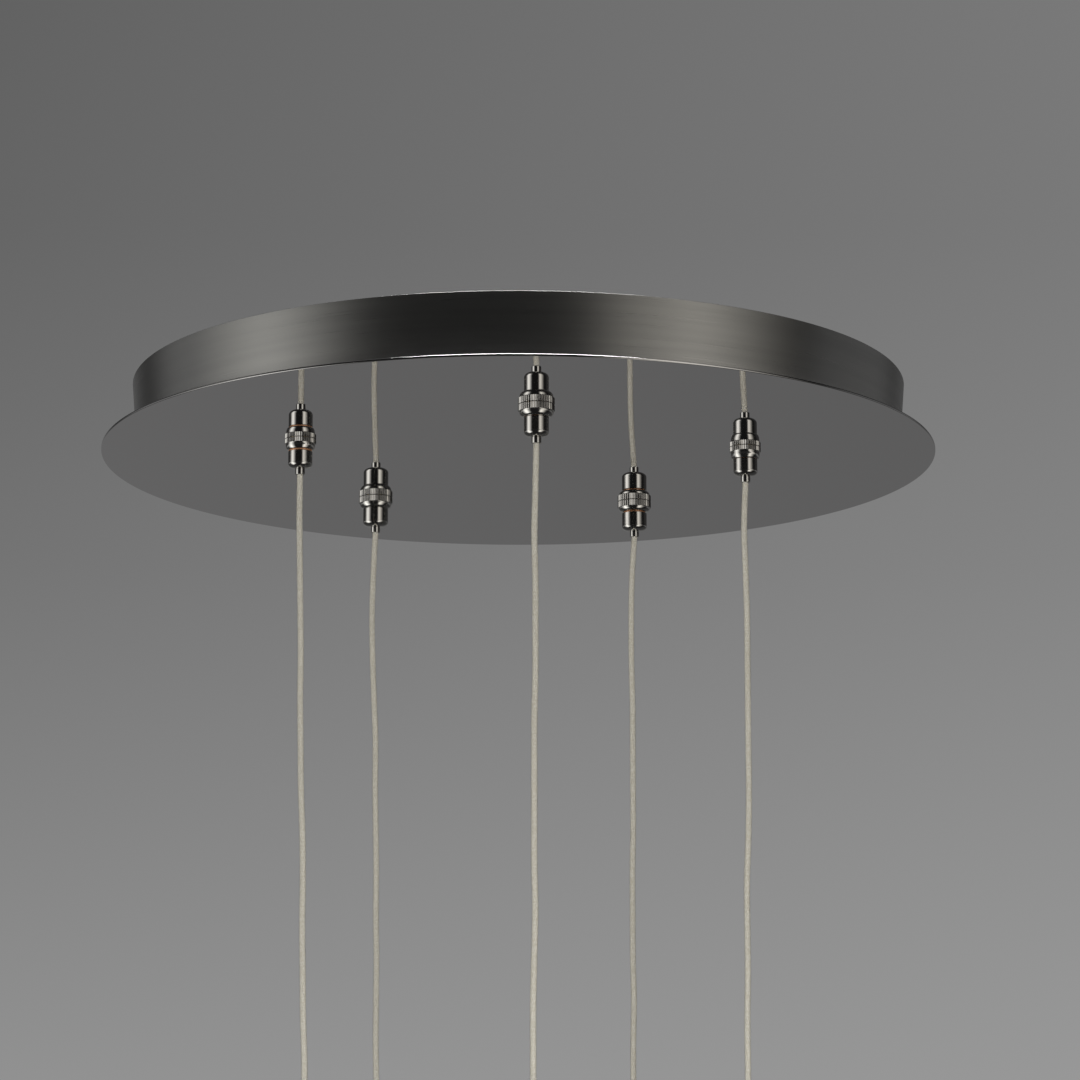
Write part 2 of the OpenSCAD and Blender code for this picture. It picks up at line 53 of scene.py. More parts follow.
camera.location = (0, -camera_back, plate_low - camera_below_plate)
camera.rotation_euler = (math.pi / 2 + camera_pitch, 0, -camera_yaw)
camera.data.sensor_width = 36
camera.data.lens = 134
bpy.context.scene.collection.objects.link(camera)
bpy.context.scene.camera = camera


# Cords. Each is a coaxial low-voltage cord of 3.2 mm: a milky core, a shield braided from
# flat tinned bundles, and a clear jacket pressed over it. The lamp's weight keeps it nearly
# straight, and what is left of its curl from the reel shows as a slight sway.
MM = 0.001
pendants = range(1, 6)
cord_drop = 330 * MM
cord_lead_in = 0.7 * MM
cord_d = 3.2 * MM
sway_mm = [
    [0, -0.5, -1, -0.5, -0.5, -0.5, -1, -1, -1, -1, -0.5, -1, -1.5, -1.5, -1.5],
    [0, -1, -0.5, 0, 0, 0, 0, 0, -0.5, -1.5, -1.5, -1.5, -2, -2, -2],
    [0, -1.5, -2, -2, -1.5, -1.5, -1.5, -1.5, -2, -2, -2, -1.5, -2, -2, -2],
    [0, -1, -1.5, -1, 0, 1, 1, 1.5, 2, 2, 2.5, 2.5, 2.5, 3, 3],
    [0, 0, 0.5, 1, 1.5, 1.5, 2, 2.5, 3.5, 4, 4, 4.5, 5, 6, 6],
]


def add(tree, kind, inputs=(), **settings):
    """A node with its settings, whose inputs are values or other nodes' outputs."""
    made = tree.nodes.new(kind)
    for name, value in settings.items():
        setattr(made, name, value)
    for name, value in dict(inputs).items():
        if isinstance(value, bpy.types.NodeSocket):
            tree.links.new(value, made.inputs[name])
        else:
            made.inputs[name].default_value = value
    return made


def math_node(tree, operation, a, b=0.0, c=0.0):
    """One step of arithmetic in a node tree."""
    return add(tree, "ShaderNodeMath", {0: a, 1: b, 2: c}, operation=operation).outputs[0]


def finish_of(name, colour, roughness, metallic=0.0, **sockets):
    """A material with one shader, whose even values are set on its own sockets."""
    material = bpy.data.materials.new(name)
    material.use_nodes = True
    shader = material.node_tree.nodes["Principled BSDF"]
    values = {"Base Color": (*colour, 1), "Roughness": roughness, "Metallic": metallic, **sockets}
    for socket, value in values.items():
        shader.inputs[socket].default_value = value
    return material, material.node_tree, shader


def mottled(material_parts, low, high, scale, detail=3.0):
    """Drives the base colour between two tones with a soft cloud."""
    material, tree, shader = material_parts
    spot = add(tree, "ShaderNodeTexCoord").outputs["Object"]
    cloud = add(tree, "ShaderNodeTexNoise", {"Vector": spot, "Scale": scale, "Detail": detail}).outputs["Fac"]
    tone = add(tree, "ShaderNodeMix", {"Factor": cloud}, data_type="RGBA")
    tone.inputs[6].default_value = (*low, 1)
    tone.inputs[7].default_value = (*high, 1)
    tree.links.new(tone.outputs[2], shader.inputs["Base Color"])
    return material


def link_mesh(name, mesh, material):
    """A mesh as an object in the scene, in one material."""
    made = bpy.data.objects.new(name, mesh)
    bpy.context.scene.collection.objects.link(made)
    mesh.materials.clear()
    mesh.materials.append(material)
    return made


def as_plain_mesh(source, name, material, sharp_deg=30, even=False):
    """The evaluated object as a plain mesh under a new name; the source goes. Even shading
    keeps flat faces flat up to their rounded edges."""
    if even:
        source.data.set_sharp_from_angle(angle=math.radians(sharp_deg))
        source.modifiers.new("even_shading", "WEIGHTED_NORMAL").keep_sharp = True
    evaluated = source.evaluated_get(bpy.context.evaluated_depsgraph_get())
    mesh = bpy.data.meshes.new_from_object(evaluated)
    bpy.data.objects.remove(source)
    if not even:
        mesh.shade_smooth()
        mesh.set_sharp_from_angle(angle=math.radians(sharp_deg))
    return link_mesh(name, mesh, material)


def route(i):
    """The cord's line: the chosen places with a soft curve through them."""
    ferrule_low, ferrule_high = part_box(f"cord_ferrule_{i}")
    middle = (ferrule_low + ferrule_high) / 2
    steps = len(sway_mm[i - 1]) - 1
    places = [Vector((middle.x + x * MM, middle.y, ferrule_low.z - cord_drop * k / steps))
              for k, x in enumerate(sway_mm[i - 1])]
    places.insert(0, Vector((middle.x, middle.y, ferrule_low.z + cord_lead_in)))
    return places


def bent_line(name, places, per_span=6):
    """A poly line through the places, rounded as a flexible cord is."""
    points = []
    for k in range(len(places) - 1):
        before = places[max(k - 1, 0)]
        a, b = places[k], places[k + 1]
        after = places[min(k + 2, len(places) - 1)]
        for step in range(per_span):
            t = step / per_span
            points.append(0.5 * (2 * a + (b - before) * t + (2 * before - 5 * a + 4 * b - after) * t ** 2
                                 + (3 * a - before - 3 * b + after) * t ** 3))
    points.append(places[-1])
    data = bpy.data.curves.new(name, "CURVE")
    data.dimensions = "3D"
    data.twist_mode = "MINIMUM"
    spline = data.splines.new("POLY")
    spline.points.add(len(points) - 1)
    for point, place in zip(spline.points, points):
        point.co = (*place, 1)
    made = bpy.data.objects.new(name, data)
    bpy.context.scene.collection.objects.link(made)
    return made, points


def braid_tree():
    """Flat bundles laid round a line in two opposite screws, each passing over and under."""
    tree = bpy.data.node_groups.new("braided_shield", "GeometryNodeTree")
    face = tree.interface
    face.new_socket("Line", in_out="INPUT", socket_type="NodeSocketGeometry")
    for name, value in (("Radius", 1.13 * MM), ("Lay", 22.4 * MM), ("Bundle Width", 0.62 * MM),
                        ("Bundle Thickness", 0.13 * MM), ("Weave", 0.075), ("Step", 0.47 * MM)):
        face.new_socket(name, in_out="INPUT", socket_type="NodeSocketFloat").default_value = value
    face.new_socket("Bundles", in_out="INPUT", socket_type="NodeSocketInt").default_value = 8
    face.new_socket("Material", in_out="INPUT", socket_type="NodeSocketMaterial")
    face.new_socket("Geometry", in_out="OUTPUT", socket_type="NodeSocketGeometry")
    given = tree.nodes.new("NodeGroupInput").outputs
    line = add(tree, "GeometryNodeResampleCurve", {"Curve": given["Line"], "Length": given["Step"]},
               mode="LENGTH").outputs[0]
    along = add(tree, "GeometryNodeSplineParameter").outputs["Length"]
    turns = math_node(tree, "DIVIDE", along, given["Lay"])
    crossings = math_node(tree, "MULTIPLY", turns, given["Bundles"])
    wave = math_node(tree, "COSINE", math_node(tree, "MULTIPLY", crossings, math.tau))
    ring = add(tree, "GeometryNodeCurvePrimitiveCircle",
               {"Resolution": given["Bundles"], "Radius": given["Radius"]}).outputs["Curve"]
    bundle = add(tree, "GeometryNodeCurvePrimitiveCircle", {"Resolution": 6, "Radius": 0.5}).outputs["Curve"]
    flat = add(tree, "ShaderNodeCombineXYZ", {"X": given["Bundle Thickness"], "Y": given["Bundle Width"], "Z": 1.0})
    bundle = add(tree, "GeometryNodeTransform", {"Geometry": bundle, "Scale": flat.outputs[0]}).outputs[0]
    place = add(tree, "GeometryNodeInputIndex").outputs[0]
    angle = math_node(tree, "DIVIDE", math_node(tree, "MULTIPLY", place, math.tau), given["Bundles"])
    turned = add(tree, "ShaderNodeCombineXYZ", {"Z": angle}).outputs[0]
    profile = add(tree, "GeometryNodeInstanceOnPoints",
                  {"Points": ring, "Instance": bundle, "Rotation": turned}).outputs[0]
    profile = add(tree, "GeometryNodeRealizeInstances", {0: profile}).outputs[0]
    whole = tree.nodes.new("GeometryNodeJoinGeometry")
    for hand in (1, -1):
        tilt = math_node(tree, "MULTIPLY", turns, hand * math.tau)
        lift = math_node(tree, "MULTIPLY_ADD", math_node(tree, "MULTIPLY", wave, given["Weave"]), hand, 1.0)
        laid = add(tree, "GeometryNodeSetCurveTilt", {"Curve": line, "Tilt": tilt}).outputs[0]
        laid = add(tree, "GeometryNodeSetCurveRadius", {"Curve": laid, "Radius": lift}).outputs[0]
        swept = add(tree, "GeometryNodeCurveToMesh",
                    {"Curve": laid, "Profile Curve": profile, "Fill Caps": True}).outputs[0]
        tree.links.new(swept, whole.inputs[0])
    smooth = add(tree, "GeometryNodeSetShadeSmooth", {"Geometry": whole.outputs[0]}).outputs[0]
    real = add(tree, "GeometryNodeRealizeInstances", {0: smooth}).outputs[0]
    painted = add(tree, "GeometryNodeSetMaterial", {"Geometry": real, "Material": given["Material"]}).outputs[0]
    out = tree.nodes.new("NodeGroupOutput")
    tree.links.new(painted, out.inputs[0])
    return tree


def socket_id(tree, name):
    """The identifier that a modifier knows a tree's named input by."""
    return next(s.identifier for s in tree.interface.items_tree
                if s.name == name and s.in_out == "INPUT")


def run_tree(source, tree, name, material):
    """Runs a node tree on an object and keeps the result as a plain mesh."""
    modifier = source.modifiers.new(tree.name, "NODES")
    modifier.node_group = tree
    modifier[socket_id(tree, "Material")] = material
    return as_plain_mesh(source, name, material, sharp_deg=50)


jacket_finish, _, _ = finish_of("clear_jacket", (0.97, 0.955, 0.91), 0.18, **{
    "Transmission Weight": 0.78, "IOR": 1.40})
braid_finish, tree, shader = finish_of("tinned_braid", (0.92, 0.90, 0.82), 0.42, 0.2)
spot = add(tree, "ShaderNodeTexCoord").outputs["Object"]
tarnish = add(tree, "ShaderNodeTexNoise", {"Vector": spot, "Scale": 900.0, "Detail": 2.0}).outputs["Fac"]
shade = add(tree, "ShaderNodeValToRGB", {"Fac": tarnish})
dull, bright = shade.color_ramp.elements
dull.position, dull.color = 0.35, (0.80, 0.76, 0.65, 1)
bright.position, bright.color = 0.62, (0.96, 0.94, 0.87, 1)
tree.links.new(shade.outputs[0], shader.inputs["Base Color"])
core_finish = mottled(finish_of("milky_core", (0.82, 0.77, 0.64), 0.5), (0.74, 0.69, 0.56), (0.86, 0.81, 0.69),
                      300, detail=2.0)

shield = braid_tree()
core_d = 2.0 * MM
for i in pendants:
    body = f"pendant_{i}"
    line, points = bent_line(f"braid_line_{i}", route(i))
    braid = run_tree(line, shield, f"cord_braid_{i}", braid_finish)
    tubes = []
    for name, diameter, material in ((f"cord_core_{i}", core_d, core_finish),
                                     (f"cord_jacket_{i}", cord_d, jacket_finish)):
        tube, _ = bent_line(name + "_line", route(i))
        tube.data.bevel_depth = diameter / 2
        tube.data.bevel_resolution = 6
        tube.data.use_fill_caps = True
        tubes.append(as_plain_mesh(tube, name, material, sharp_deg=60))
    core, jacket = tubes
    jacket.visible_shadow = False
    for piece in (braid, core, jacket):
        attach(piece, body)
    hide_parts(f"cord_{i}")


# Ceiling pan. Spun from 1.2 mm steel, its seam weld ground flush, brushed round and round on
# the lathe, then plated dark nickel. The band draws in slightly towards the plate and has a
# lip turned in at the ceiling; the floor is pierced for the sockets.
def rounded(corner, radius, start, end, steps=6):
    """Outline points of a rounded corner about its centre, angles in degrees."""
    return [(corner[0] + radius * math.cos(math.radians(start + (end - start) * k / steps)),
             corner[1] + radius * math.sin(math.radians(start + (end - start) * k / steps)))
            for k in range(steps + 1)]


def turned(name, outline, centre, material, segments=96, closed=False, sharp_deg=30):
    """A piece turned on a lathe: an outline of radius and height in millimetres, run round
    the vertical through centre. An outline that isn't closed starts and ends on the axis."""
    form = bmesh.new()
    rings = []
    for radius, height in outline:
        z = centre[2] + height * MM
        if radius < 1e-6:
            rings.append([form.verts.new((centre[0], centre[1], z))] * segments)
        else:
            rings.append([form.verts.new((centre[0] + radius * MM * math.cos(math.tau * s / segments),
                                          centre[1] + radius * MM * math.sin(math.tau * s / segments), z))
                          for s in range(segments)])
    pairs = list(zip(rings, rings[1:]))
    if closed:
        pairs.append((rings[-1], rings[0]))
    for low, high in pairs:
        for s in range(segments):
            t = (s + 1) % segments
            corners = []
            for vert in (low[s], low[t], high[t], high[s]):
                if vert not in corners:
                    corners.append(vert)
            if len(corners) > 2:
                form.faces.new(corners)
    bmesh.ops.recalc_face_normals(form, faces=form.faces)
    mesh = bpy.data.meshes.new(name)
    form.to_mesh(mesh)
    form.free()
    mesh.shade_smooth()
    return as_plain_mesh(link_mesh("blank", mesh, material), name, material, sharp_deg, even=True)


def drilled(piece, name, material, holes):
    """The piece with round holes: each hole is a middle, a direction, the radii of its two
    ends, and a depth."""
    form = bmesh.new()
    for centre, direction, near_r, far_r, depth in holes:
        matrix = direction.to_track_quat("Z", "Y").to_matrix().to_4x4()
        matrix.translation = centre
        bmesh.ops.create_cone(form, cap_ends=True, segments=48, radius1=near_r, radius2=far_r,
                              depth=depth, matrix=matrix)
    mesh = bpy.data.meshes.new("drill")
    form.to_mesh(mesh)
    form.free()
    drill = link_mesh("drill", mesh, material)
    cut = piece.modifiers.new("holes", "BOOLEAN")
    cut.operation = "DIFFERENCE"
    cut.solver = "EXACT"
    cut.object = drill
    pierced = as_plain_mesh(piece, "pierced", material)
    bpy.data.objects.remove(drill)
    return as_plain_mesh(pierced, name, material, even=True)


def brushed_round(tree, lines=1500.0, wander=2.2):
    """Fine lines that run round the vertical axis, from 0 to 1, with a slow drift in tone."""
    spot = add(tree, "ShaderNodeSeparateXYZ", {0: add(tree, "ShaderNodeTexCoord").outputs["Object"]}).outputs
    angle = math_node(tree, "ARCTAN2", spot["Y"], spot["X"])
    level = add(tree, "ShaderNodeCombineXYZ", {"X": spot["X"], "Y": spot["Y"]}).outputs[0]
    radius = add(tree, "ShaderNodeVectorMath", {0: level}, operation="LENGTH").outputs["Value"]
    across = math_node(tree, "ADD", spot["Z"], radius)
    where = add(tree, "ShaderNodeCombineXYZ", {"X": math_node(tree, "MULTIPLY", angle, wander),
                                               "Y": math_node(tree, "MULTIPLY", across, lines)}).outputs[0]
    fine = add(tree, "ShaderNodeTexNoise", {"Vector": where, "Scale": 1.0, "Detail": 4.0, "Roughness": 0.65})
    slow_wander, slow_lines = 0.4 * wander, 0.12 * lines
    wide = add(tree, "ShaderNodeCombineXYZ", {"X": math_node(tree, "MULTIPLY", angle, slow_wander),
                                              "Y": math_node(tree, "MULTIPLY", across, slow_lines)}).outputs[0]
    slow = add(tree, "ShaderNodeTexNoise", {"Vector": wide, "Scale": 1.0, "Detail": 2.0})
    return fine.outputs["Fac"], slow.outputs["Fac"]


band_finish, tree, shader = finish_of("brushed_dark_nickel", (0.34, 0.34, 0.34), 0.30, 1.0, **{
    "Anisotropic": 0.6, "Anisotropic Rotation": 0.25})
fine, slow = brushed_round(tree)
tone = add(tree, "ShaderNodeMix", {"Factor": slow}, data_type="RGBA")
tone.inputs[6].default_value = (0.28, 0.28, 0.275, 1)
tone.inputs[7].default_value = (0.38, 0.375, 0.365, 1)
tree.links.new(tone.outputs[2], shader.inputs["Base Color"])
brushed_least, brushed_spread = 0.22, 0.16
tree.links.new(math_node(tree, "MULTIPLY_ADD", fine, brushed_spread, brushed_least), shader.inputs["Roughness"])
lines = add(tree, "ShaderNodeBump", {"Strength": 0.12, "Distance": 0.0001, "Height": fine})
tree.links.new(lines.outputs[0], shader.inputs["Normal"])
tree.links.new(add(tree, "ShaderNodeTangent", direction_type="RADIAL", axis="Z").outputs[0],
               shader.inputs["Tangent"])

pan_low, pan_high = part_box("canopy_pan")
pan_r = (pan_high.x - pan_low.x) / 2 / MM
pan_h = (pan_high.z - pan_low.z) / MM
pan_draft, pan_t, pan_corner, lip_w, lip_edge = 2.5, 1.2, 2.0, 3.0, 0.15
low_r = pan_r - pan_draft
pan_outline = ([(0, -pan_h)] + rounded((low_r - pan_corner, pan_corner - pan_h), pan_corner, -90, 0)
               + rounded((pan_r - lip_edge, -lip_edge), lip_edge, 0, 90, 4)
               + [(pan_r - lip_w, 0), (pan_r - lip_w, -pan_t), (pan_r - pan_t, -pan_t)]
               + rounded((low_r - pan_corner, pan_corner - pan_h), pan_corner - pan_t, 0, -90)
               + [(0, pan_t - pan_h)])
pan = turned("pan_blank", pan_outline, (0, 0, pan_high.z), band_finish, segments=256)
fitting_at = {i: (Vector(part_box(f"plug_barrel_{i}")[0]) + Vector(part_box(f"plug_barrel_{i}")[1])) / 2
              for i in pendants}
socket_hole_r, hole_depth = 4.9 * MM, 10 * MM
socket_holes = [(Vector((at.x, at.y, pan_low.z)), Vector((0, 0, 1)), socket_hole_r, socket_hole_r, hole_depth)
                for at in fitting_at.values()]
screw_low, screw_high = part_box("side_screws")
screw_z = (screw_low.z + screw_high.z) / 2
screw_clearance, sink = 0.3 * MM, 2 * MM
sunk_r = (screw_high.z - screw_low.z) / 2 + screw_clearance
screw_holes = [(Vector((side * screw_high.x, 0, screw_z)), Vector((side, 0, 0)), sunk_r - sink, sunk_r + sink, 2 * sink)
               for side in (-1, 1)]
pan = drilled(pan, "ceiling_pan", band_finish, socket_holes + screw_holes)
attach(pan, "canopy")
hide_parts("canopy_pan")


# Polished plate. A 1.2 mm steel disc under the pan, wider than it, polished to a mirror and
# plated like the pan, with its edge eased; it is clamped to the pan by the sockets' nuts.
mirror_finish, tree, shader = finish_of("mirror_dark_nickel", (0.56, 0.55, 0.55), 0.015, 1.0)
spot = add(tree, "ShaderNodeTexCoord").outputs["Object"]
haze = add(tree, "ShaderNodeTexNoise", {"Vector": spot, "Scale": 14.0, "Detail": 3.0}).outputs["Fac"]
tree.links.new(math_node(tree, "MULTIPLY_ADD", haze, 0.02, 0.004), shader.inputs["Roughness"])
plate_low_corner, plate_high_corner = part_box("mirror_plate")
plate_r = (plate_high_corner.x - plate_low_corner.x) / 2 / MM
plate_t = (plate_high_corner.z - plate_low_corner.z) / MM
plate_ease = 0.3
plate_outline = ([(0, -plate_t)] + rounded((plate_r - plate_ease, plate_ease - plate_t), plate_ease, -90, 0, 4)
                 + rounded((plate_r - plate_ease, -plate_ease), plate_ease, 0, 90, 4) + [(0, 0)])
plate = turned("plate_blank", plate_outline, (0, 0, plate_high_corner.z), mirror_finish, segments=320)
plate = drilled(plate, "polished_plate", mirror_finish, socket_holes)
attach(plate, "canopy")
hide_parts("mirror_plate")


# Fittings. Under each socket hangs a plug on a knurled locking ring. All are turned brass,
# polished and plated black nickel: the ring, the plug's barrel, and the ferrule crimped
# on the cord. A thin copper washer lies between ring and barrel.
chrome_finish, tree, shader = finish_of("black_nickel", (0.60, 0.59, 0.57), 0.12, 1.0)
spot = add(tree, "ShaderNodeTexCoord").outputs["Object"]
wipe = add(tree, "ShaderNodeTexNoise", {"Vector": spot, "Scale": 260.0, "Detail": 3.0}).outputs["Fac"]
tree.links.new(math_node(tree, "MULTIPLY_ADD", wipe, 0.08, 0.08), shader.inputs["Roughness"])
copper_finish = mottled(finish_of("copper", (0.83, 0.42, 0.22), 0.45, 0.6), (0.72, 0.34, 0.17), (0.92, 0.52, 0.30),
                        500, detail=2.0)


def knurl_tree():
    """Raises straight ridges round a turned ring, between two heights, with bevelled ends."""
    tree = bpy.data.node_groups.new("straight_knurl", "GeometryNodeTree")
    face = tree.interface
    face.new_socket("Blank", in_out="INPUT", socket_type="NodeSocketGeometry")
    face.new_socket("Centre", in_out="INPUT", socket_type="NodeSocketVector")
    for name in ("Root Radius", "Low", "High", "Depth", "End Bevel"):
        face.new_socket(name, in_out="INPUT", socket_type="NodeSocketFloat")
    face.new_socket("Ridges", in_out="INPUT", socket_type="NodeSocketInt").default_value = 44
    face.new_socket("Material", in_out="INPUT", socket_type="NodeSocketMaterial")
    face.new_socket("Geometry", in_out="OUTPUT", socket_type="NodeSocketGeometry")
    given = tree.nodes.new("NodeGroupInput").outputs
    place = add(tree, "GeometryNodeInputPosition").outputs[0]
    here = add(tree, "ShaderNodeVectorMath", {0: place, 1: given["Centre"]}, operation="SUBTRACT").outputs[0]
    part = add(tree, "ShaderNodeSeparateXYZ", {0: here}).outputs
    level = add(tree, "ShaderNodeCombineXYZ", {"X": part["X"], "Y": part["Y"]}).outputs[0]
    radius = add(tree, "ShaderNodeVectorMath", {0: level}, operation="LENGTH").outputs["Value"]
    out = add(tree, "ShaderNodeVectorMath", {0: level}, operation="NORMALIZE").outputs[0]
    turn = math_node(tree, "DIVIDE", math_node(tree, "ARCTAN2", part["Y"], part["X"]), math.tau)
    turn = math_node(tree, "MULTIPLY", turn, given["Ridges"])
    ridge = math_node(tree, "MULTIPLY_ADD", math_node(tree, "PINGPONG", turn, 0.5), -2.0, 1.0)
    ends = math_node(tree, "MINIMUM", math_node(tree, "SUBTRACT", part["Z"], given["Low"]),
                     math_node(tree, "SUBTRACT", given["High"], part["Z"]))
    ends = add(tree, "ShaderNodeClamp", {0: math_node(tree, "DIVIDE", ends, given["End Bevel"])}).outputs[0]
    skin = math_node(tree, "SUBTRACT", given["Root Radius"], 0.02 * MM)
    is_skin = math_node(tree, "GREATER_THAN", radius, skin)
    rise = math_node(tree, "MULTIPLY", math_node(tree, "MULTIPLY", ridge, ends),
                     math_node(tree, "MULTIPLY", given["Depth"], is_skin))
    offset = add(tree, "ShaderNodeVectorMath", {0: out, "Scale": rise}, operation="SCALE").outputs[0]
    moved = add(tree, "GeometryNodeSetPosition", {"Geometry": given["Blank"], "Offset": offset}).outputs[0]
    real = add(tree, "GeometryNodeRealizeInstances", {0: moved}).outputs[0]
    painted = add(tree, "GeometryNodeSetMaterial", {"Geometry": real, "Material": given["Material"]}).outputs[0]
    end = tree.nodes.new("NodeGroupOutput")
    tree.links.new(painted, end.inputs[0])
    return tree


def quarter_ellipse(inner_r, outer_r, top, depth, steps):
    """Outline points of a rounded shoulder, from its widest place down to its foot."""
    return [(inner_r + (outer_r - inner_r) * math.cos(math.radians(90 * k / steps)),
             top - depth * math.sin(math.radians(90 * k / steps))) for k in range(steps + 1)]


knurl = knurl_tree()
ridges, knurl_depth, ridge_bevel, ridge_inset = 44, 0.38, 0.1, 0.01
ring_gap, ring_edge, ring_ease = 0.1, 0.05, 0.12
shoulder_step, foot_ease, foot_drop = 0.1, 0.15, 0.02
recess_r, recess_z = 6.3, 1.8
thread_r, web_top_z, web_low_z = 4.85, 4.9, 5.9
neck_bore_r, mouth_r, washer_pocket_r = 4.1, 6.7, 6.2
skirt_of = {1: 0.7, 2: 0.7, 3: 0.0, 4: 0.7, 5: 0.0}
knurl_h_of = {1: 3.4, 2: 2.5, 3: 3.4, 4: 3.4, 5: 2.5}
for i in pendants:
    at = (fitting_at[i].x, fitting_at[i].y, plate_low)
    ring_low, ring_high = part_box(f"locking_ring_{i}")
    root_r = (ring_high.x - ring_low.x) / 2 / MM - knurl_depth
    low_z = web_low_z + skirt_of[i]
    knurl_low = ring_gap + knurl_h_of[i]
    shoulder_h = low_z - knurl_low
    outline = [(root_r - ring_edge, -ring_gap), (root_r, -ring_gap - ring_edge), (root_r, -ring_gap - ring_ease),
               (root_r, ring_ease - knurl_low), (root_r, ring_edge - knurl_low)]
    outline += quarter_ellipse(mouth_r, root_r - shoulder_step, -knurl_low, shoulder_h, 12)
    outline += [(mouth_r - foot_ease, -low_z - foot_drop)]
    if skirt_of[i]:
        outline += [(washer_pocket_r, -low_z), (washer_pocket_r, -web_low_z)]
    outline += [(neck_bore_r, -web_low_z), (neck_bore_r, -web_top_z), (thread_r, -web_top_z),
                (thread_r, -recess_z), (recess_r, -recess_z), (recess_r, -ring_gap)]
    blank = turned("ring_blank", outline, at, chrome_finish, segments=8 * ridges, closed=True)
    modifier = blank.modifiers.new("knurl", "NODES")
    modifier.node_group = knurl
    settings = {"Centre": at, "Root Radius": (root_r - ridge_inset) * MM, "Low": -knurl_low * MM,
                "High": -ring_gap * MM, "Depth": knurl_depth * MM, "End Bevel": ridge_bevel * MM,
                "Ridges": ridges, "Material": chrome_finish}
    for name, value in settings.items():
        modifier[socket_id(knurl, name)] = value
    ring = as_plain_mesh(blank, f"knurled_ring_{i}", chrome_finish)
    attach(ring, f"ring_{i}")
    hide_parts(f"locking_ring_{i}")


def radius_of(node):
    """Half the width of a round CAD node, in millimetres."""
    low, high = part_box(node)
    return (high.x - low.x) / 2 / MM


clip_r, clip_z, clip_t, neck_r = 4.65, 4.35, 0.5, 4.0
washer_z, washer_t, washer_edge, washer_play = 5.95, 0.7, 0.1, 0.03
barrel_z, barrel_end, barrel_ease = 6.65, 2.8, 0.3
ferrule_edge, crimp_edge = 0.5, 0.15
mouth, mouth_depth = cord_d / MM / 2 + 0.3, 1
for i in pendants:
    at = (fitting_at[i].x, fitting_at[i].y, plate_low)
    barrel_r, ferrule_r, washer_r = (radius_of(f"{node}_{i}")
                                     for node in ("plug_barrel", "cord_ferrule", "copper_washer"))
    ferrule_z = (plate_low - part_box(f"plug_barrel_{i}")[0].z) / MM
    ferrule_low_z = (plate_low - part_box(f"cord_ferrule_{i}")[0].z) / MM
    outline = [(0, -clip_z), (clip_r, -clip_z), (clip_r, -clip_z - clip_t), (neck_r, -clip_z - clip_t),
               (neck_r, -barrel_z), (barrel_r - barrel_ease, -barrel_z)]
    outline += rounded((barrel_r - barrel_ease, -barrel_z - barrel_ease), barrel_ease, 90, 0, 4)
    outline += quarter_ellipse(ferrule_r, barrel_r, barrel_end - ferrule_z, barrel_end, 16)
    outline += [(0, -ferrule_z)]
    barrel = turned(f"barrel_{i}", outline, at, chrome_finish, segments=128)
    outline = [(0, -ferrule_z), (ferrule_r - crimp_edge, -ferrule_z), (ferrule_r, -ferrule_z - crimp_edge)]
    outline += rounded((ferrule_r - ferrule_edge, ferrule_edge - ferrule_low_z), ferrule_edge, 0, -90, 8)
    outline += [(mouth, -ferrule_low_z), (mouth, mouth_depth - ferrule_low_z), (0, mouth_depth - ferrule_low_z)]
    ferrule = turned(f"ferrule_{i}", outline, at, chrome_finish, segments=64)
    inner_r, washer_low_z = neck_r + washer_play, washer_z + washer_t
    outline = [(inner_r, -washer_z), (washer_r - washer_edge, -washer_z), (washer_r, -washer_z - washer_edge),
               (washer_r, washer_edge - washer_z - washer_t), (washer_r - washer_edge, -washer_low_z),
               (inner_r, -washer_low_z)]
    washer = turned(f"washer_{i}", outline, at, copper_finish, segments=128, closed=True)
    for piece, node, slot in ((barrel, "plug_barrel", "fitting_chrome"),
                              (ferrule, "cord_ferrule", "fitting_chrome"), (washer, "copper_washer", "copper")):
        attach(piece, f"plug_{i}")
        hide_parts(f"{node}_{i}")


# Inner pieces. Behind the pan stand the zinc-plated strap and screws, the white driver on its
# foam, the green board with its terminals and leads, and the sockets' own pieces.
def give(material, *nodes):
    """Puts the material on CAD nodes that keep their own mesh."""
    for name in nodes:
        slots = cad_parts[name].data.materials
        slots.clear()
        slots.append(material)


zinc = mottled(finish_of("zinc_plate", (0.62, 0.62, 0.63), 0.34, 1.0), (0.50, 0.51, 0.54), (0.72, 0.71, 0.68), 60)
give(zinc, "ceiling_strap", "side_screws", "socket_nuts")
give(mottled(finish_of("earth_green", (0.1, 0.38, 0.18), 0.35, 0.8), (0.06, 0.28, 0.12), (0.12, 0.42, 0.2), 300),
     "earth_screw")
give(mottled(finish_of("white_moulding", (0.85, 0.85, 0.83), 0.45), (0.80, 0.80, 0.77), (0.87, 0.87, 0.85), 90),
     "driver_case", "edge_terminals")
give(mottled(finish_of("foam", (0.05, 0.05, 0.05), 0.95), (0.02, 0.02, 0.02), (0.09, 0.09, 0.09), 900),
     "foam_pads")
give(mottled(finish_of("solder_mask", (0.03, 0.16, 0.07), 0.25), (0.02, 0.12, 0.05), (0.04, 0.2, 0.09), 200),
     "distribution_board")
give(mottled(finish_of("socket_brass", (0.78, 0.62, 0.32), 0.25, 1.0), (0.70, 0.54, 0.27), (0.84, 0.69, 0.38), 200),
     "jack_sockets", "socket_contacts", *(f"plug_pin_{i}" for i in pendants))
give(mottled(finish_of("nylon", (0.86, 0.84, 0.75), 0.4), (0.80, 0.78, 0.68), (0.88, 0.86, 0.78), 200),
     "socket_liners")
give(mottled(finish_of("pressed_fibre", (0.42, 0.2, 0.12), 0.7), (0.33, 0.14, 0.08), (0.48, 0.25, 0.15), 700),
     "fibre_washers")
